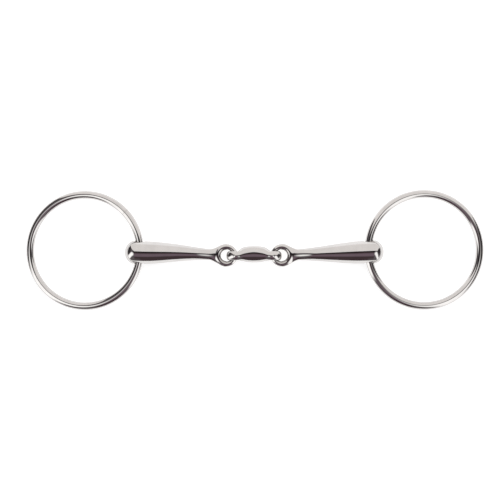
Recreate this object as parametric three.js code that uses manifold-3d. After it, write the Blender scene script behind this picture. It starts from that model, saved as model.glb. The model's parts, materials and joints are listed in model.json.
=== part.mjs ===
// A loose-ring snaffle bit with a double-jointed mouthpiece, lying on a flat surface.
// Millimetres, +X along the mouthpiece, +Y across it, +Z up. The origin is on the surface, midway
// between the rings. Five forged and welded steel pieces: two rings, two cannons and a centre link.
import * as THREE from "three";
import { mergeVertices } from "three/addons/utils/BufferGeometryUtils.js";
import Module from "manifold-3d";

// Ring: a round wire bent to a circle and welded shut. It runs loose in the bore of a cannon.
const RING_RADIUS = 34.15; // to the middle of the wire
const RING_WIRE = 4.8; // diameter

// Cannon, the side piece of the mouthpiece. Its lengths are measured from the axis of its bore.
const BUTT_DIAMETER = 14.6; // thickest, beside the ring
const BUTT_CAP = 6.3; // depth of the domed outer end
const BUTT_SHOULDER = 2.6; // from the bore's axis out to where the dome starts
const NECK_DIAMETER = 6.6; // what the taper levels off to
const NECK_REACH = 44; // to the thinnest place, where the eye starts
const TAPER_FROM = 1;
const TAPER_TO = 46;
const TAPER_EASING = 0.69; // 0 for a straight cone, 1 for a taper that is level at both ends
const BORE_DIAMETER = 6.2;
const BORE_MOUTH = 6.7; // the bore's diameter where its eased mouths meet the outside
const MOUTH_DEPTH = 2; // how deep the easing goes
const EYE_RADIUS = 5.25; // to the middle of the bar that goes round the eye
const EYE_BAR = 3.2; // diameter of that bar
const EYE_REACH = 53.25; // to the middle of the eye

// Centre link: a flattened lozenge with a loop at each end, round the tip of a cannon's eye.
const LOOP_RADIUS = 4.15; // to the middle of the loop's band
const LOOP_THICKNESS = 3.1; // of the band, across the loop
const LOOP_WIDTH = 5.5; // of the band, along the loop's axis
const LOZENGE = { length: 30.7, width: 10.4, thickness: 7.8 }; // to the points it runs out to
const FULLNESS = 2.18; // over 1, and the higher it is, the blunter the lozenge
const SQUARING = 1.5; // how much squarer than an ellipse the link's section is at its ends
const LOOP_SPACING = 22.9; // between the two loops' axes
const DRAWN_OUT = 0.25; // how far a cannon's tip lies outwards of its loop's axis, within its play

// How the pieces lie: every piece rests on the surface, and the sides sweep forward a little.
const SWEEP = THREE.MathUtils.degToRad(2.1);

// Faceting. The counts of the long way round are multiples of 4, so each round touches its own box.
const RING_STEPS = 72;
const RING_SIDES = 13; // odd, which gives the inside of the ring a band of facets facing its centre
const BODY_SIDES = 32;
const EYE_STEPS = 32;
const EYE_SIDES = 12;
const LOFT_SIDES = 28;
const DOME_STEPS = 8;
const TAPER_STEPS = 12;
const LINK_STEPS = 30;
const HOLE_STEPS = 8;
const BLEND_POWER = 8; // how tightly the lozenge and its loops blend into each other
const HOLE_ARC = THREE.MathUtils.degToRad(78); // how far round a band's inside its hole is cut

// Derived.
const BUTT_RADIUS = BUTT_DIAMETER / 2;
const WIRE_RADIUS = RING_WIRE / 2;
const EYE_BAR_RADIUS = EYE_BAR / 2;
const TIP_REACH = EYE_REACH + EYE_RADIUS; // from the bore to the tip of the eye, where it hinges
const LOOP_X = LOOP_SPACING / 2;
const LOOP_OUTER = LOOP_RADIUS + LOOP_THICKNESS / 2;
const HINGE_X = LOOP_X + DRAWN_OUT;
// The ring's wire bows inside the bore, so its middle sits half the bow off the bore's axis.
const WIRE_BOW = RING_RADIUS - Math.sqrt(RING_RADIUS ** 2 - BUTT_RADIUS ** 2);
const RING_REACH = RING_RADIUS - WIRE_BOW / 2; // from the bore's axis to the ring's centre
const CANNON_PITCH = Math.asin((BUTT_RADIUS - LOOP_OUTER) / TIP_REACH);
const RING_PITCH = Math.asin((BUTT_RADIUS - WIRE_RADIUS) / (RING_REACH + RING_RADIUS));
const SIDE_REACH = TIP_REACH * Math.cos(CANNON_PITCH) + RING_REACH * Math.cos(RING_PITCH);

const wasm = await Module();
wasm.setup();

// The closed solid inside a geometry's surface.
function solidOf(geometry) {
  const bare = geometry.clone();
  bare.deleteAttribute("normal");
  bare.deleteAttribute("uv");
  const merged = mergeVertices(bare, 1e-4);
  return new wasm.Manifold(
    new wasm.Mesh({
      numProp: 3,
      vertProperties: merged.attributes.position.array,
      triVerts: new Uint32Array(merged.index.array),
    }),
  );
}

// The surface of a solid, as a flat-shaded geometry.
function geometryOf(solid) {
  const mesh = solid.getMesh();
  const points = new Float32Array(mesh.numVert * 3);
  for (let i = 0; i < mesh.numVert; i++) {
    const first = i * mesh.numProp;
    points.set(mesh.vertProperties.subarray(first, first + 3), i * 3);
  }
  const indexed = new THREE.BufferGeometry();
  indexed.setAttribute("position", new THREE.BufferAttribute(points, 3));
  indexed.setIndex(new THREE.BufferAttribute(mesh.triVerts, 1));
  const geometry = indexed.toNonIndexed();
  geometry.computeVertexNormals();
  return geometry;
}

// A solid of revolution about X. Its profile runs from one end of the axis to the other, as
// points of (radius, x), with x rising.
function turnedAboutX(profile, sides) {
  return new THREE.LatheGeometry(profile, sides).rotateZ(-Math.PI / 2);
}

// Points on a curve given as a function, at steps + 1 even values between from and to.
function sample(curve, from, to, steps) {
  const points = [];
  for (let i = 0; i <= steps; i++) points.push(curve(from + ((to - from) * i) / steps));
  return points;
}

// The cannon's radius at x from its bore, between the shoulder and the neck.
function taperRadius(x) {
  const even = THREE.MathUtils.inverseLerp(TAPER_FROM, TAPER_TO, Math.max(x, TAPER_FROM));
  const eased = THREE.MathUtils.smoothstep(x, TAPER_FROM, TAPER_TO);
  const share = THREE.MathUtils.lerp(even, eased, TAPER_EASING);
  return THREE.MathUtils.lerp(BUTT_RADIUS, NECK_DIAMETER / 2, share);
}

// The turned part of a cannon: a domed butt, then the taper down to the neck. Its last
// millimetre runs on inside the flare.
function cannonBody() {
  const dome = sample(
    (a) =>
      new THREE.Vector2(BUTT_RADIUS * Math.sin(a), -BUTT_SHOULDER - BUTT_CAP * Math.cos(a)),
    0,
    Math.PI / 2,
    DOME_STEPS,
  );
  const taper = sample((x) => new THREE.Vector2(taperRadius(x), x), 0, NECK_REACH, TAPER_STEPS);
  const inside = NECK_REACH + 1;
  const core = taperRadius(NECK_REACH) - 0.5;
  const end = [new THREE.Vector2(core, inside), new THREE.Vector2(0, inside)];
  return solidOf(turnedAboutX([...dome, ...taper, ...end], BODY_SIDES));
}

// The flare between the neck and the eye: the round neck spreads sideways, thins to the bar's
// thickness, and runs on either side into the eye's bar.
function flare() {
  const neck = taperRadius(NECK_REACH);
  const outer = EYE_RADIUS + EYE_BAR_RADIUS;
  const end = EYE_REACH - 0.4;
  return loftAlongX(
    [
      { x: NECK_REACH, across: 0, thick: 0 },
      { x: NECK_REACH, across: neck, thick: neck },
      { x: NECK_REACH + 1.9, across: neck + 0.6, thick: neck - 0.35 },
      { x: NECK_REACH + 3.7, across: neck + 1.6, thick: neck - 0.95 },
      { x: NECK_REACH + 5.5, across: outer - 0.75, thick: EYE_BAR_RADIUS + 0.35 },
      { x: NECK_REACH + 7.4, across: outer - 0.2, thick: EYE_BAR_RADIUS },
      { x: end, across: outer - 0.05, thick: EYE_BAR_RADIUS - 0.05 },
      { x: end, across: 0, thick: 0 },
    ],
    LOFT_SIDES,
  );
}

// A closed loft along X through sections given by their half sizes across (Y) and thick (Z).
// A section of power 2 is an ellipse, and a higher power squares it off. The first and last
// sections are points, and each closes its end with a fan.
function loftAlongX(sections, sides) {
  const middle = sections.slice(1, -1);
  const points = [];
  for (const { x, across, thick, power = 2 } of middle) {
    const squared = (v) => Math.sign(v) * Math.abs(v) ** (2 / power);
    for (let i = 0; i < sides; i++) {
      const a = (2 * Math.PI * i) / sides;
      points.push(x, across * squared(Math.cos(a)), thick * squared(Math.sin(a)));
    }
  }
  const startHub = middle.length * sides;
  const endHub = startHub + 1;
  points.push(sections[0].x, 0, 0, sections.at(-1).x, 0, 0);
  const lastRow = startHub - sides;
  const faces = [];
  for (let i = 0; i < sides; i++) {
    const next = (i + 1) % sides;
    for (let near = 0; near < lastRow; near += sides) {
      const far = near + sides;
      faces.push(near + i, near + next, far + i, near + next, far + next, far + i);
    }
    faces.push(startHub, next, i, endHub, lastRow + i, lastRow + next);
  }
  const geometry = new THREE.BufferGeometry();
  geometry.setAttribute("position", new THREE.Float32BufferAttribute(points, 3));
  geometry.setIndex(faces);
  return solidOf(geometry);
}

// A cutter for the hole in a loop of the given radius, turned about Y. It follows the inner half
// of the loop's band, whose half sizes are thick and wide, and then widens over it. A depth under
// 1 keeps it that far inside the band, for a band that is added as a piece of its own.
function holeCutter(loopRadius, thick, wide, depth, widening, reach) {
  const inner = sample(
    (a) => new THREE.Vector2(loopRadius - depth * thick * Math.cos(a), wide * Math.sin(a)),
    -HOLE_ARC,
    HOLE_ARC,
    HOLE_STEPS,
  );
  const rim = inner[0].x + widening * (reach - wide * Math.sin(HOLE_ARC));
  const profile = [
    new THREE.Vector2(0, -reach),
    new THREE.Vector2(rim, -reach),
    ...inner,
    new THREE.Vector2(rim, reach),
    new THREE.Vector2(0, reach),
  ];
  return new THREE.LatheGeometry(profile, EYE_STEPS);
}

// A cannon, with its bore's axis on Y at the origin and its eye on +X, flat in the XY plane.
function cannonGeometry() {
  const bar = new THREE.TorusGeometry(EYE_RADIUS, EYE_BAR_RADIUS, EYE_SIDES, EYE_STEPS);
  const hole = holeCutter(EYE_RADIUS, EYE_BAR_RADIUS, EYE_BAR_RADIUS, 0.85, 1, 6);
  hole.rotateX(Math.PI / 2).translate(EYE_REACH, 0, 0);
  const eye = flare()
    .subtract(solidOf(hole))
    .add(solidOf(bar.translate(EYE_REACH, 0, 0)));
  return geometryOf(cannonBody().add(eye).subtract(solidOf(boreCutter())));
}

// The bore for the ring, along Y, with eased mouths.
function boreCutter() {
  const bore = BORE_DIAMETER / 2;
  const mouth = BORE_MOUTH / 2;
  const straight = BUTT_RADIUS - MOUTH_DEPTH;
  const past = BUTT_RADIUS + 1;
  const profile = [
    new THREE.Vector2(0, -past),
    new THREE.Vector2(mouth + 1, -past),
    new THREE.Vector2(mouth, -BUTT_RADIUS),
    new THREE.Vector2(bore, -straight),
    new THREE.Vector2(bore, straight),
    new THREE.Vector2(mouth, BUTT_RADIUS),
    new THREE.Vector2(mouth + 1, past),
    new THREE.Vector2(0, past),
  ];
  return new THREE.LatheGeometry(profile, BODY_SIDES);
}

// The larger of two sizes, with a smooth passage where they are nearly equal.
function smoothLarger(a, b) {
  return (a ** BLEND_POWER + b ** BLEND_POWER) ** (1 / BLEND_POWER);
}

// The height of an ellipse or circle at an offset from its middle, and 0 past its end.
function arch(offset, reach, height) {
  return height * Math.sqrt(Math.max(0, 1 - (offset / reach) ** 2));
}

// The half size of a lozenge of the given full size, at a distance out from its middle.
function lozengeHalf(out, size) {
  return (size / 2) * Math.max(0, 1 - (out / (LOZENGE.length / 2)) ** FULLNESS);
}

// The centre link's section at x: the lozenge in the middle, and the outline of a loop round
// each hinge axis, seen from the side in thick and from above in across.
function linkSection(x) {
  const out = Math.abs(x);
  const pastBand = Math.max(0, out - LOOP_X - LOOP_RADIUS);
  return {
    x,
    across: smoothLarger(
      lozengeHalf(out, LOZENGE.width),
      arch(pastBand, LOOP_THICKNESS / 2, LOOP_WIDTH / 2),
    ),
    thick: smoothLarger(
      lozengeHalf(out, LOZENGE.thickness),
      arch(out - LOOP_X, LOOP_OUTER, LOOP_OUTER),
    ),
    power: 2 + SQUARING * Math.min(1, out / LOOP_X) ** 2,
  };
}

// The centre link, with its loops' axes along Y, either side of the origin. The sections crowd
// towards the ends, where the outline turns fastest.
function linkGeometry() {
  const end = LOOP_X + LOOP_OUTER;
  const sections = sample(
    (a) => linkSection(end * Math.sin(a)),
    -Math.PI / 2,
    Math.PI / 2,
    LINK_STEPS,
  );
  let link = loftAlongX(sections, LOFT_SIDES);
  for (const x of [-LOOP_X, LOOP_X]) {
    const hole = holeCutter(LOOP_RADIUS, LOOP_THICKNESS / 2, LOOP_WIDTH / 2, 1, 0.3, 7);
    link = link.subtract(solidOf(hole.translate(x, 0, 0)));
  }
  return geometryOf(link);
}

// A ring in the XY plane. It is turned half a step, so that a facet faces each of +-X and +-Y.
function ringGeometry() {
  return new THREE.TorusGeometry(RING_RADIUS, WIRE_RADIUS, RING_SIDES, RING_STEPS).rotateZ(
    Math.PI / RING_STEPS,
  );
}

const polished = { color: 0xcfcac6, metalness: 1 };
const cannonSteel = new THREE.MeshStandardMaterial({ ...polished, roughness: 0.14 });
const linkSteel = new THREE.MeshStandardMaterial({ ...polished, roughness: 0.18 });
const ringSteel = new THREE.MeshStandardMaterial({ ...polished, roughness: 0.22 });

function piece(name, geometry, material) {
  const mesh = new THREE.Mesh(geometry, material);
  mesh.name = name;
  return mesh;
}

// One side of the bit. The group's origin is where the cannon's eye hinges in the link's loop,
// and its +X runs outwards along the cannon.
function side(name, turn) {
  const group = new THREE.Group();
  group.rotation.set(0, -CANNON_PITCH, turn, "ZYX");

  const cannon = piece(`${name}_cannon`, cannonGeometry(), cannonSteel);
  cannon.position.x = TIP_REACH;
  cannon.rotation.z = Math.PI;

  const hanging = new THREE.Group();
  hanging.position.x = TIP_REACH;
  hanging.rotation.y = CANNON_PITCH + RING_PITCH;
  const ring = piece(`${name}_ring`, ringGeometry(), ringSteel);
  ring.position.x = RING_REACH;
  hanging.add(ring);

  group.add(cannon, hanging);
  return group;
}

function snaffleBit() {
  const bit = new THREE.Group();
  bit.position.set(0, -SIDE_REACH * Math.sin(SWEEP), LOOP_OUTER);
  const left = side("left", Math.PI - SWEEP);
  left.position.x = -HINGE_X;
  const right = side("right", SWEEP);
  right.position.x = HINGE_X;
  bit.add(piece("centre_link", linkGeometry(), linkSteel), left, right);
  return bit;
}

export default snaffleBit();
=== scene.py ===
"""Looks for a loose-ring snaffle bit with a lozenge link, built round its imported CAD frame.

The five steel pieces are made again as fine polished surfaces. Each is the zero surface of a signed
distance, in millimetres and in the piece's own axes, and each stands on its CAD node's place.
"""
import functools
import json
import math

import bpy
import numpy as np
import openvdb
from mathutils import Matrix, Vector


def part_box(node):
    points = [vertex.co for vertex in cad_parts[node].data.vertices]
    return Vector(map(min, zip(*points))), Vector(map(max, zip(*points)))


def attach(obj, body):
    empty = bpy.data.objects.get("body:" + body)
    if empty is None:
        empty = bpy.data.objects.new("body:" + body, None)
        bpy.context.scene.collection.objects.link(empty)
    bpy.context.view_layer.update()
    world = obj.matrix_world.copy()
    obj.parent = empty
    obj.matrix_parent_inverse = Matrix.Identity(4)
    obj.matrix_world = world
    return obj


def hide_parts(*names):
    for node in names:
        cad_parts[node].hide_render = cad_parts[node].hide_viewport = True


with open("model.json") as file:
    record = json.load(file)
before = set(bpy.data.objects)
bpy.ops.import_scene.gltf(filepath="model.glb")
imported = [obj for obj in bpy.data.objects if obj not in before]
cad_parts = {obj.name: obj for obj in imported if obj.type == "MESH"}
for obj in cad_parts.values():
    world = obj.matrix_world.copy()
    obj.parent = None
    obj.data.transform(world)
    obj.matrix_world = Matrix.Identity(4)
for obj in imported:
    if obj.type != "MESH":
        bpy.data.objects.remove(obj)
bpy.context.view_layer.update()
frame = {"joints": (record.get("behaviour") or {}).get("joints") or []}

MM = 0.001

# Cannon: lengths along it are measured from the axis of its bore, towards its eye.
BUTT_RADIUS = 7.3
DOME_DEPTH = 6.3
SHOULDER = 2.6  # from the bore's axis out to the dome
SHOULDER_STEP = 0.3  # how far inside the dome's widest place the shoulder cuts it
NECK_RADIUS = 3.3  # what the taper levels off to
NECK_REACH = 43.0  # where the neck begins to spread into the eye
THINS_FROM, THINS_TO = 32.0, 51.5  # where the cannon flattens towards its eye
THINNING = 2.0  # off its half thickness, by the end of that stretch
TAPER_FROM, TAPER_TO = 1.0, 46.0
TAPER_EASING = 0.69  # 0 for a straight cone, 1 for a taper level at both ends
BORE_RADIUS = 3.1
EYE_RADIUS = 5.3  # to the middle of the eye's bar
EYE_BAR = 1.68  # radius of that bar
EYE_INSET = 0.3  # how far inside the bar's outer edge the spreading neck ends
SPREAD_POWER = 1.6  # how late the neck spreads towards the eye
EYE_REACH = 53.25
BOWS = {"left": 0.55, "right": 0.0}  # how far each is bowed to the far side halfway along

# Centre link.
LOOP_X = 11.45  # from its middle to each loop's axis
LOOP_RADIUS = 4.15  # to the middle of the loop's band
LOOP_THICK = 1.55  # half the band's thickness
LOOP_WIDE = 2.75  # half the band's width
LOOP_SQUASH = 1.15  # the loops are this much longer than they are tall
LOZENGE_REACH = 15.35  # from its middle to the point its outline runs out to
LOZENGE_ACROSS = 5.2
LOZENGE_THICK = 4.0
LOZENGE_SWELL = 1.05  # how much thicker it is beside the loops
LOZENGE_RAISE = 0.9  # how far it sits off the line of the loops, on the far side
FULLNESS = 2.18
CANT = math.radians(17)  # the lozenge's flats lean this far between the loops

# Ring.
RING_RADIUS = 34.15
WIRE_RADIUS = 2.4
WELD_TURNS = {"left": math.radians(225), "right": math.radians(180)}
WELD_RISE = 0.03  # how much fuller the wire is at its weld
WELD_LENGTH = 1.6
SEAM_LENGTH = 0.28
SEAM_SHADE = 0.4  # painted shade in the weld seam, as a share of the painted shade inside a bore

VOXEL = 0.28
RELAX_ROUNDS = 4
RING_STEPS = 480
WIRE_STEPS = 40


# ---- Signed distances: p is an array of points, one row each ----------------------------------


def smooth_max(a, b, blend):
    """The larger of two distances: cuts, with the edge rounded over about blend."""
    share = np.clip(0.5 + 0.5 * (a - b) / blend, 0, 1)
    return b + (a - b) * share + blend * share * (1 - share)


def smooth_min(a, b, blend):
    """The smaller of two distances: joins, with a fillet of about blend."""
    return -smooth_max(-a, -b, blend)


def ease(t):
    """From 0 to 1 with level ends."""
    t = np.clip(t, 0, 1)
    return t * t * (3 - 2 * t)


def ellipse_distance(y, z, across, thick):
    """About the distance to an ellipse of those half sizes, in its plane."""
    near = np.sqrt((y / across) ** 2 + (z / thick) ** 2) + 1e-9
    slope = np.sqrt((y / across**2) ** 2 + (z / thick**2) ** 2) + 1e-9
    return near * (near - 1) / slope


def ellipsoid_distance(x, y, z, sizes):
    """About the distance to an ellipsoid of those three half sizes."""
    a, b, c = sizes
    near = np.sqrt((x / a) ** 2 + (y / b) ** 2 + (z / c) ** 2) + 1e-9
    slope = np.sqrt((x / a**2) ** 2 + (y / b**2) ** 2 + (z / c**2) ** 2) + 1e-9
    return near * (near - 1) / slope


def cannon_distance(p, bow):
    """Bore's axis on Y at the origin, eye on +X, flat in XY."""
    x, y, z = p.T
    y = y - bow * np.sin(np.clip(x / EYE_REACH, 0, 1) * np.pi) ** 2
    # The taper, which spreads and thins past the neck into the eye.
    even = np.clip((x - TAPER_FROM) / (TAPER_TO - TAPER_FROM), 0, 1)
    share = even + (ease(even) - even) * TAPER_EASING
    radius = BUTT_RADIUS - (BUTT_RADIUS - NECK_RADIUS) * share
    past = np.clip((x - NECK_REACH) / (EYE_REACH - NECK_REACH), 0, 1)
    spread = np.sin(past * np.pi / 2) ** SPREAD_POWER
    across = radius + (EYE_RADIUS + EYE_BAR - EYE_INSET - NECK_RADIUS) * spread
    thinned = ease((x - THINS_FROM) / (THINS_TO - THINS_FROM))
    thick = radius - THINNING * thinned
    body = ellipse_distance(y, z, across, thick)
    # The domed butt: half an ellipsoid, then a straight run that the taper lies inside.
    widest = SHOULDER_STEP - SHOULDER
    depth = np.minimum(x - widest, 0)
    dome_sizes = (DOME_DEPTH + SHOULDER_STEP, BUTT_RADIUS + 0.02, BUTT_RADIUS + 0.02)
    dome = ellipsoid_distance(depth, y, z, dome_sizes)
    body = smooth_max(body, dome, 0.8)
    # The eye: its hole is rounded over on the neck's side, and its bar is a full round.
    from_eye = np.hypot(x - EYE_REACH, y)
    body = smooth_max(body, EYE_RADIUS - EYE_BAR - from_eye, 1.9)
    body = smooth_max(body, x - EYE_REACH + 0.4, 0.5)
    bar = np.hypot(from_eye - EYE_RADIUS, z) - EYE_BAR
    solid = smooth_min(body, bar, 1.0)
    # The bore, eased at its mouths.
    mouth = 0.25 * ease((np.abs(y) - BUTT_RADIUS + 2.2) / 2.2)
    bore = np.hypot(x, z) - BORE_RADIUS - mouth
    return smooth_max(solid, -bore, 0.45)


def link_distance(p):
    """Loops' axes along Y, either side of the origin."""
    x, y, z = p.T
    out = np.abs(x)
    # The lozenge, canted in the middle and upright at the loops.
    between = 1 - ease((out - 6) / (LOOP_X - 6))
    cant = CANT * between
    raised = y - LOZENGE_RAISE * between
    turned_y = raised * np.cos(cant) + z * np.sin(cant)
    turned_z = z * np.cos(cant) - raised * np.sin(cant)
    narrowing = np.maximum(1 - (out / LOZENGE_REACH) ** FULLNESS, 0.05)
    fuller = LOZENGE_THICK + LOZENGE_SWELL * np.minimum(out / LOOP_X, 1) ** 1.2
    solid = ellipse_distance(turned_y, turned_z, LOZENGE_ACROSS * narrowing, fuller)
    from_axis = np.hypot(out - LOOP_X, z * LOOP_SQUASH)
    solid = smooth_max(solid, LOOP_RADIUS - LOOP_THICK - from_axis, 1.4)
    solid = smooth_max(solid, out - LOOP_X - 0.3, 0.6)
    band = ellipse_distance(from_axis - LOOP_RADIUS, y, LOOP_THICK, LOOP_WIDE)
    return smooth_min(solid, band, 0.5)


# ---- Meshes ---------------------------------------------------------------------------------------


def gradient(distance, p, step=0.01):
    """How the distance changes at each point along X, Y and Z."""
    columns = []
    for axis in range(3):
        shift = np.zeros(3)
        shift[axis] = step
        columns.append((distance(p + shift) - distance(p - shift)) / (2 * step))
    return np.stack(columns, axis=1)


def onto_surface(distance, p, rounds):
    """Points moved along the gradient until they lie on the surface."""
    for _ in range(rounds):
        slope = gradient(distance, p)
        steep = np.maximum((slope**2).sum(axis=1), 0.05)
        p = p - slope * np.clip(distance(p) / steep, -0.2, 0.2)[:, None]
    return p


def skin(distance, low, high):
    """(points, quads) of the surface inside a box, evenly spread and exactly on it."""
    axes = [np.arange(a, b + VOXEL, VOXEL) for a, b in zip(low, high)]
    lattice = np.stack(np.meshgrid(*axes, indexing="ij"), axis=-1).reshape(-1, 3)
    values = distance(lattice).reshape([len(a) for a in axes])
    grid = openvdb.FloatGrid(background=3 * VOXEL)
    grid.copyFromArray(np.clip(values, -3 * VOXEL, 3 * VOXEL).astype(np.float32))
    points, quads = grid.convertToQuads(isovalue=0.0)
    points = points.astype(float) * VOXEL + np.array([a[0] for a in axes])
    points = onto_surface(distance, points, 3)
    ends = np.concatenate([quads[:, [i, (i + 1) % 4]] for i in range(4)]).astype(int)
    count = np.bincount(ends[:, 0], minlength=len(points))[:, None]
    for _ in range(RELAX_ROUNDS):
        total = np.zeros_like(points)
        for axis in range(3):
            total[:, axis] = np.bincount(ends[:, 0], points[ends[:, 1], axis], len(points))
        points = onto_surface(distance, points + 0.5 * (total / count - points), 2)
    return points, quads


def finished_mesh(name, points, quads, normals, axes, marks):
    """A smooth mesh from points and normals in mm in a piece's own axes (a 4x4 in metres)."""
    a, b, c = (points[quads[:, i]] for i in (0, 1, 2))
    facing = np.cross(b - a, c - a)
    if (facing * normals[quads[:, 0]]).sum() < 0:
        quads = quads[:, ::-1]
    turn = np.array(axes.to_3x3())
    place = np.array(axes.translation)
    world = points @ turn.T * MM + place
    mesh = bpy.data.meshes.new(name)
    mesh.from_pydata(world.tolist(), [], quads.tolist())
    mesh.validate()
    for mark, values in marks.items():
        attribute = mesh.attributes.new(mark, "FLOAT", "POINT")
        attribute.data.foreach_set("value", values.astype(np.float32))
    grain = mesh.attributes.new("own_place", "FLOAT_VECTOR", "POINT")
    grain.data.foreach_set("vector", (points * MM).astype(np.float32).ravel())
    mesh.shade_smooth()
    lengths = np.linalg.norm(normals, axis=1, keepdims=True)
    mesh.normals_split_custom_set_from_vertices((normals / lengths @ turn.T).tolist())
    piece = bpy.data.objects.new(name, mesh)
    bpy.context.scene.collection.objects.link(piece)
    return piece


def steel_piece(name, distance, low, high, axes, marks):
    points, quads = skin(distance, low, high)
    normals = gradient(distance, points)
    found = {mark: rule(points) for mark, rule in marks.items()}
    return finished_mesh(name, points, quads, normals, axes, found)


# ---- Places from the frame -------------------------------------------------------------------------


joints = {j["name"]: j for j in frame["joints"]}


def axes_from(origin, along):
    """Axes at origin with X along a direction and Y level."""
    x = along.normalized()
    y = Vector((0, 0, 1)).cross(x).normalized()
    z = x.cross(y)
    turn = Matrix((x, y, z)).transposed().to_4x4()
    return Matrix.Translation(origin) @ turn


def cannon_axes(side):
    bore = Vector(joints[f"{side}_ring_swing"]["pos_m"])
    fold = Vector(joints[f"{side}_fold"]["pos_m"])
    return axes_from(bore, fold - bore)


def ring_axes(side):
    low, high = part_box(f"{side}_ring")
    centre = (low + high) / 2
    bore = Vector(joints[f"{side}_ring_swing"]["pos_m"])
    return axes_from(centre, centre - bore)


def link_axes():
    folds = [Vector(joints[f"{side}_fold"]["pos_m"]) for side in ("left", "right")]
    return axes_from((folds[0] + folds[1]) / 2, folds[1] - folds[0])


# ---- Pieces ------------------------------------------------------------------------------------------


def bore_shade(p):
    """1 inside the bore and round its mouths, falling to 0 over the butt."""
    return 1 - ease((np.hypot(p[:, 0], p[:, 2]) - BORE_RADIUS) / 0.9)


def eye_shade(p):
    """1 on the inside of the eye."""
    return 1 - ease((np.hypot(p[:, 0] - EYE_REACH, p[:, 1]) - EYE_RADIUS + 1.2) / 1.1)


def loop_shade(p):
    """1 on the inside of the link's loops."""
    return 1 - ease((np.hypot(np.abs(p[:, 0]) - LOOP_X, p[:, 2]) - LOOP_RADIUS + 1.2) / 1.1)


def cannon(side):
    reach = EYE_REACH + EYE_RADIUS + EYE_BAR + 1
    low = (-SHOULDER - DOME_DEPTH - 1, -BUTT_RADIUS - 1, -BUTT_RADIUS - 1)
    high = (reach, BUTT_RADIUS + 1, BUTT_RADIUS + 1)
    # Painted shade: the colour darkens inside the bore, round its mouths and inside the eye.
    marks = {"painted_shade_mask": lambda p: np.maximum(bore_shade(p), eye_shade(p))}
    name = f"{side}_cannon_skin"
    # Its own Y axis points to the far side on the left and to the near side on the right.
    far = BOWS[side] if side == "left" else -BOWS[side]
    shape = functools.partial(cannon_distance, bow=far)
    return steel_piece(name, shape, low, high, cannon_axes(side), marks)


def link():
    reach = LOOP_X + LOOP_RADIUS + LOOP_THICK + 1
    tall = LOOP_RADIUS + LOOP_THICK + 1
    wide = LOZENGE_ACROSS + 1
    # Painted shade: the colour darkens inside the loops.
    marks = {"painted_shade_mask": loop_shade}
    low = (-reach, -wide, -tall)
    high = (reach, wide, tall)
    return steel_piece("centre_link_skin", link_distance, low, high, link_axes(), marks)


def ring(side, weld_turn):
    """A torus whose wire is a little fuller at its weld, at that angle in its own axes."""
    u = np.arange(RING_STEPS) * 2 * np.pi / RING_STEPS
    v = np.arange(WIRE_STEPS) * 2 * np.pi / WIRE_STEPS
    u, v = (g.ravel() for g in np.meshgrid(u, v, indexing="ij"))
    off = (u - weld_turn + np.pi) % (2 * np.pi) - np.pi
    along = off * RING_RADIUS
    seam = np.exp(-((along / SEAM_LENGTH) ** 2))
    wire = WIRE_RADIUS + WELD_RISE * np.exp(-((along / WELD_LENGTH) ** 2)) - WELD_RISE * seam
    from_centre = RING_RADIUS + wire * np.cos(v)
    points = np.stack([from_centre * np.cos(u), from_centre * np.sin(u), wire * np.sin(v)], axis=1)
    normals = np.stack([np.cos(v) * np.cos(u), np.cos(v) * np.sin(u), np.sin(v)], axis=1)
    i, j = np.meshgrid(np.arange(RING_STEPS), np.arange(WIRE_STEPS), indexing="ij")
    i, j = i.ravel(), j.ravel()
    i_next, j_next = (i + 1) % RING_STEPS, (j + 1) % WIRE_STEPS
    quads = np.stack(
        [a * WIRE_STEPS + b for a, b in ((i, j), (i_next, j), (i_next, j_next), (i, j_next))],
        axis=1,
    )
    # Painted shade: the colour darkens along the weld seam.
    marks = {"painted_shade_mask": SEAM_SHADE * seam}
    return finished_mesh(f"{side}_ring_skin", points, quads, normals, ring_axes(side), marks)


# ---- Materials ---------------------------------------------------------------------------------------


class Nodes:
    """Short calls for building a node tree."""

    def __init__(self, tree):
        self.tree = tree
        tree.nodes.clear()

    def new(self, kind, **settings):
        node = self.tree.nodes.new(kind)
        for key, value in settings.items():
            setattr(node, key, value)
        return node

    def link(self, start, end):
        self.tree.links.new(start, end)

    def feed(self, socket, value):
        if hasattr(value, "is_output"):
            self.link(value, socket)
        else:
            socket.default_value = value

    def math(self, operation, a, b=0.0, c=0.0):
        node = self.new("ShaderNodeMath", operation=operation)
        for socket, value in zip(node.inputs, (a, b, c)):
            self.feed(socket, value)
        return node.outputs[0]

    def spread(self, value, low, high, to_low, to_high, kind="SMOOTHSTEP"):
        node = self.new("ShaderNodeMapRange", interpolation_type=kind)
        for socket, v in zip(node.inputs, (value, low, high, to_low, to_high)):
            self.feed(socket, v)
        return node.outputs[0]

    def noise(self, place, scale, detail=2.0, roughness=0.5):
        node = self.new("ShaderNodeTexNoise")
        self.feed(node.inputs["Vector"], place)
        self.feed(node.inputs["Scale"], scale)
        self.feed(node.inputs["Detail"], detail)
        self.feed(node.inputs["Roughness"], roughness)
        return node.outputs["Fac"]

    def stretched(self, place, stretch):
        node = self.new("ShaderNodeVectorMath", operation="MULTIPLY")
        self.feed(node.inputs[0], place)
        self.feed(node.inputs[1], stretch)
        return node.outputs[0]

    def mix_colour(self, share, a, b):
        node = self.new("ShaderNodeMix", data_type="RGBA")
        self.feed(node.inputs["Factor"], share)
        self.feed(node.inputs["A"], a)
        self.feed(node.inputs["B"], b)
        return node.outputs["Result"]


def grain_along_x(nodes, own):
    """A cannon's and the link's grain runs along their own X, so their own place will do."""
    return own


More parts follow.
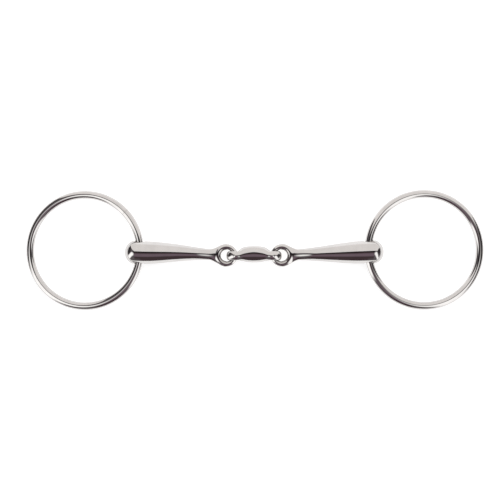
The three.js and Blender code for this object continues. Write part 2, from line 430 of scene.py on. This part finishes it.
def grain_round_ring(nodes, own):
    """(distance round the ring, distance from its axis, height), in metres."""
    split = nodes.new("ShaderNodeSeparateXYZ")
    nodes.link(own, split.inputs[0])
    x, y, z = split.outputs
    turn = nodes.math("ARCTAN2", y, x)
    out = nodes.math("SQRT", nodes.math("ADD", nodes.math("MULTIPLY", x, x), nodes.math("MULTIPLY", y, y)))
    joined = nodes.new("ShaderNodeCombineXYZ")
    nodes.link(nodes.math("MULTIPLY", turn, RING_RADIUS * MM), joined.inputs[0])
    nodes.link(out, joined.inputs[1])
    nodes.link(z, joined.inputs[2])
    return joined.outputs[0]


def polished_steel(name, grain, tint, roughness):
    """Mirror-bright stainless steel: long polishing streaks, fine hairlines and a faint mottle."""
    material = bpy.data.materials.new(name)
    material.use_nodes = True
    nodes = Nodes(material.node_tree)
    own = nodes.new("ShaderNodeAttribute", attribute_name="own_place").outputs["Vector"]
    painted_shade_mask = nodes.new("ShaderNodeAttribute", attribute_name="painted_shade_mask").outputs["Fac"]
    lay = grain(nodes, own)
    streaks = nodes.noise(nodes.stretched(lay, (45, 900, 900)), 1.0, 3.0)
    hairlines = nodes.noise(nodes.stretched(lay, (220, 9000, 9000)), 1.0, 2.0)
    mottle = nodes.noise(own, 160.0, 3.0)
    swell = nodes.noise(nodes.stretched(lay, (50, 250, 250)), 1.0, 1.0)

    shader = nodes.new("ShaderNodeBsdfPrincipled")
    shader.inputs["Metallic"].default_value = 1.0
    bright = nodes.spread(mottle, 0.3, 0.7, 0.0, 1.0)
    colour = nodes.mix_colour(bright, [c * 0.94 for c in tint[:3]] + [1], tint)
    # Painted shade: the colour darkens towards a dark brown-grey where this mask is high, in bores, eyes,
    # loops and the ring's weld seam; those places are also rougher.
    shade_share = nodes.math("MULTIPLY", painted_shade_mask, 0.55)
    colour = nodes.mix_colour(shade_share, colour, (0.2, 0.18, 0.17, 1))
    nodes.link(colour, shader.inputs["Base Color"])
    rough = nodes.spread(streaks, 0.35, 0.68, roughness * 0.7, roughness * 1.6)
    rough = nodes.math("ADD", rough, nodes.math("MULTIPLY", painted_shade_mask, 0.12))
    nodes.link(rough, shader.inputs["Roughness"])

    height = nodes.math("MULTIPLY", swell, 3.0)
    height = nodes.math("MULTIPLY_ADD", streaks, 0.12, height)
    height = nodes.math("MULTIPLY_ADD", hairlines, 0.006, height)
    bump = nodes.new("ShaderNodeBump")
    bump.inputs["Strength"].default_value = 1.0
    bump.inputs["Distance"].default_value = 0.000012
    nodes.link(height, bump.inputs["Height"])
    nodes.link(bump.outputs[0], shader.inputs["Normal"])
    out = nodes.new("ShaderNodeOutputMaterial")
    nodes.link(shader.outputs[0], out.inputs["Surface"])
    return material


# ---- Studio ------------------------------------------------------------------------------------------


def studio_floor():
    """A plain white table, which glows a little so that it comes out as pale as the background."""
    mesh = bpy.data.meshes.new("floor")
    half = 2.5
    level = -0.00003  # just under the lowest points of the steel
    corners = [(-half, -half, level), (half, -half, level), (half, half, level), (-half, half, level)]
    mesh.from_pydata(corners, [], [(0, 1, 2, 3)])
    floor = bpy.data.objects.new("floor", mesh)
    bpy.context.scene.collection.objects.link(floor)
    material = bpy.data.materials.new("white_table")
    material.use_nodes = True
    nodes = Nodes(material.node_tree)
    shader = nodes.new("ShaderNodeBsdfPrincipled")
    shader.inputs["Base Color"].default_value = (0.5, 0.5, 0.5, 1)
    shader.inputs["Roughness"].default_value = 0.9
    shader.inputs["Specular IOR Level"].default_value = 0.0
    shader.inputs["Emission Color"].default_value = (1, 1, 1, 1)
    shader.inputs["Emission Strength"].default_value = 0.74
    out = nodes.new("ShaderNodeOutputMaterial")
    nodes.link(shader.outputs[0], out.inputs["Surface"])
    mesh.materials.append(material)


def bar_distance(nodes, across, up, start, end):
    """Distance on the sky's chart from a point to the line between two others."""
    run = [e - s for s, e in zip(start, end)]
    along = nodes.math("MULTIPLY", nodes.math("SUBTRACT", across, start[0]), run[0])
    along = nodes.math("MULTIPLY_ADD", nodes.math("SUBTRACT", up, start[1]), run[1], along)
    share = nodes.math("DIVIDE", along, run[0] ** 2 + run[1] ** 2)
    share = nodes.spread(share, 0.0, 1.0, 0.0, 1.0, "LINEAR")
    off_across = nodes.math("MULTIPLY_ADD", share, -run[0], nodes.math("SUBTRACT", across, start[0]))
    off_up = nodes.math("MULTIPLY_ADD", share, -run[1], nodes.math("SUBTRACT", up, start[1]))
    squares = nodes.math("MULTIPLY", off_up, off_up)
    return nodes.math("SQRT", nodes.math("MULTIPLY_ADD", off_across, off_across, squares))


def dome_surface(radius, segments=96, rows=24):
    """(points, faces) of a half sphere over the origin."""
    points = [(0, 0, radius)]
    for row in range(1, rows + 1):
        tilt = row / rows * math.pi / 2
        flat = radius * math.sin(tilt)
        for i in range(segments):
            turn = i / segments * 2 * math.pi
            points.append((flat * math.cos(turn), flat * math.sin(turn), radius * math.cos(tilt)))
    faces = [(0, 1 + i, 1 + (i + 1) % segments) for i in range(segments)]
    for row in range(rows - 1):
        near, far = 1 + row * segments, 1 + (row + 1) * segments
        for i in range(segments):
            j = (i + 1) % segments
            faces.append((near + i, far + i, far + j, near + j))
    return points, faces


def sky_chart(nodes):
    """(across, up) of a place on the dome: the zenith is at (0, 0) and the horizon at 1 from it."""
    split = nodes.new("ShaderNodeSeparateXYZ")
    nodes.link(nodes.new("ShaderNodeNewGeometry").outputs["Position"], split.inputs[0])
    x, y, z = split.outputs
    flat = nodes.math("SQRT", nodes.math("MULTIPLY_ADD", x, x, nodes.math("MULTIPLY", y, y)))
    flat = nodes.math("MAXIMUM", flat, 1e-5)
    tilt = nodes.math("DIVIDE", nodes.math("ARCTAN2", flat, z), math.pi / 2)
    across = nodes.math("MULTIPLY", nodes.math("DIVIDE", x, flat), tilt)
    up = nodes.math("MULTIPLY", nodes.math("DIVIDE", y, flat), tilt)
    return across, up


def sky_light(nodes):
    """The dome's light: a broad warm-white panel on the far side, a softbox at each near corner, and
    the dark shape of a camera and its stand overhead and down the near side."""
    across, up = sky_chart(nodes)
    # The panel, down to a line a little past the zenith, and cut back at both near corners.
    right = nodes.math("MAXIMUM", nodes.math("MULTIPLY_ADD", across, 0.9, -0.5), 0.0)
    left = nodes.math("MAXIMUM", nodes.math("MULTIPLY_ADD", across, -1.05, -0.15), 0.0)
    depth = nodes.math("SUBTRACT", up, nodes.math("ADD", left, right))
    panel = nodes.spread(depth, 0.07, 0.14, 0.0, 1.0)
    # The softboxes.
    left_box = bar_distance(nodes, across, up, (-0.41, -0.17), (-0.76, -0.38))
    left_box = nodes.spread(left_box, 0.12, 0.27, 1.0, 0.0)
    right_box = bar_distance(nodes, across, up, (0.38, -0.2), (0.62, -0.62))
    right_box = nodes.spread(right_box, 0.11, 0.25, 1.0, 0.0)
    # The camera and its stand: black along its top, paler behind it, dark towards the floor.
    stand = nodes.math("ABSOLUTE", nodes.math("ADD", across, 0.015))
    stand = nodes.spread(stand, 0.14, 0.22, 1.0, 0.0)
    stand = nodes.math("MULTIPLY", stand, nodes.spread(up, 0.04, 0.1, 1.0, 0.0))
    paler = nodes.spread(up, -0.2, -0.06, 1.0, 0.0)
    paler = nodes.math("MULTIPLY", paler, nodes.spread(up, -0.52, -0.4, 0.0, 1.0))
    stand_tone = nodes.mix_colour(paler, (0.07, 0.048, 0.053, 1), (0.2, 0.145, 0.175, 1))
    core = bar_distance(nodes, across, up, (-0.2, 0.05), (0.2, 0.05))
    core = nodes.spread(core, 0.03, 0.09, 1.0, 0.0)

    sides = nodes.spread(nodes.math("ABSOLUTE", across), 0.4, 0.7, 0.0, 1.0)
    sides = nodes.math("MULTIPLY", sides, nodes.spread(up, -0.4, 0.0, 0.0, 1.0))
    light = nodes.mix_colour(sides, (0.15, 0.135, 0.14, 1), (0.05, 0.045, 0.048, 1))
    light = nodes.mix_colour(panel, light, (1.02, 0.985, 0.965, 1))
    light = nodes.mix_colour(left_box, light, (1.55, 1.54, 1.53, 1))
    light = nodes.mix_colour(right_box, light, (1.45, 1.44, 1.43, 1))
    light = nodes.mix_colour(stand, light, stand_tone)
    light = nodes.mix_colour(core, light, (0.02, 0.018, 0.02, 1))
    return light


def studio_sky():
    """What the steel mirrors: a dome that only reflections see, lit like a small photo studio."""
    mesh = bpy.data.meshes.new("studio_sky")
    points, faces = dome_surface(radius=0.5)
    mesh.from_pydata(points, [], faces)
    sky = bpy.data.objects.new("studio_sky", mesh)
    bpy.context.scene.collection.objects.link(sky)
    sky.visible_camera = False
    sky.visible_shadow = False

    material = bpy.data.materials.new("studio_sky")
    material.use_nodes = True
    mesh.materials.append(material)
    nodes = Nodes(material.node_tree)
    shader = nodes.new("ShaderNodeEmission")
    nodes.link(sky_light(nodes), shader.inputs["Color"])
    out = nodes.new("ShaderNodeOutputMaterial")
    nodes.link(shader.outputs[0], out.inputs["Surface"])


def pale_world():
    world = bpy.data.worlds.new("pale")
    bpy.context.scene.world = world
    world.use_nodes = True
    backdrop = world.node_tree.nodes["Background"]
    backdrop.inputs["Color"].default_value = (1, 1, 1, 1)
    backdrop.inputs["Strength"].default_value = 1.0


def soft_light(name, place, size, power):
    data = bpy.data.lights.new(name, "AREA")
    data.shape = "DISK"
    data.size = size
    data.energy = power
    lamp = bpy.data.objects.new(name, data)
    lamp.location = place
    lamp.rotation_mode = "QUATERNION"
    lamp.rotation_quaternion = (-Vector(place)).to_track_quat("-Z", "Y")
    lamp.visible_glossy = False
    lamp.visible_camera = False
    bpy.context.scene.collection.objects.link(lamp)


def camera():
    """Overhead, a little to the right of the middle, with a long lens."""
    data = bpy.data.cameras.new("camera")
    distance = 0.95
    view_width = 0.3058
    data.sensor_width = 36.0
    data.lens = data.sensor_width * distance / view_width
    data.dof.use_dof = False
    data.clip_start = 0.01
    data.clip_end = 10.0
    cam = bpy.data.objects.new("camera", data)
    target = Vector((-0.0025, 0.0001, 0.005))
    turn = Matrix.Rotation(math.radians(1.42), 4, "Y") @ Matrix.Rotation(math.radians(-0.44), 4, "X")
    turn = turn @ Matrix.Rotation(math.radians(-0.13), 4, "Z")
    cam.location = target + turn.to_3x3() @ Vector((0, 0, distance))
    cam.rotation_mode = "QUATERNION"
    cam.rotation_quaternion = turn.to_quaternion()
    bpy.context.scene.collection.objects.link(cam)
    bpy.context.scene.camera = cam


# ---- The scene -----------------------------------------------------------------------------------------

STEEL = (0.66, 0.645, 0.635, 1)
cannon_steel = polished_steel("cannon_steel", grain_along_x, STEEL, 0.06)
link_steel = polished_steel("link_steel", grain_along_x, STEEL, 0.07)
ring_steel = polished_steel("ring_steel", grain_round_ring, STEEL, 0.055)

made = [(link(), "centre_link", link_steel, "link_steel")]
for side in ("left", "right"):
    made.append((cannon(side), f"{side}_cannon", cannon_steel, "cannon_steel"))
    made.append((ring(side, WELD_TURNS[side]), f"{side}_ring", ring_steel, "ring_steel"))
for piece, node, material, slot in made:
    piece.data.materials.append(material)
    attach(piece, node)
    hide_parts(node)

studio_floor()
studio_sky()
pale_world()
soft_light("overhead", (0.1, 0.35, 0.9), 0.9, 3.5)
camera()

scene = bpy.context.scene
scene.view_settings.view_transform = "Standard"
scene.view_settings.look = "None"
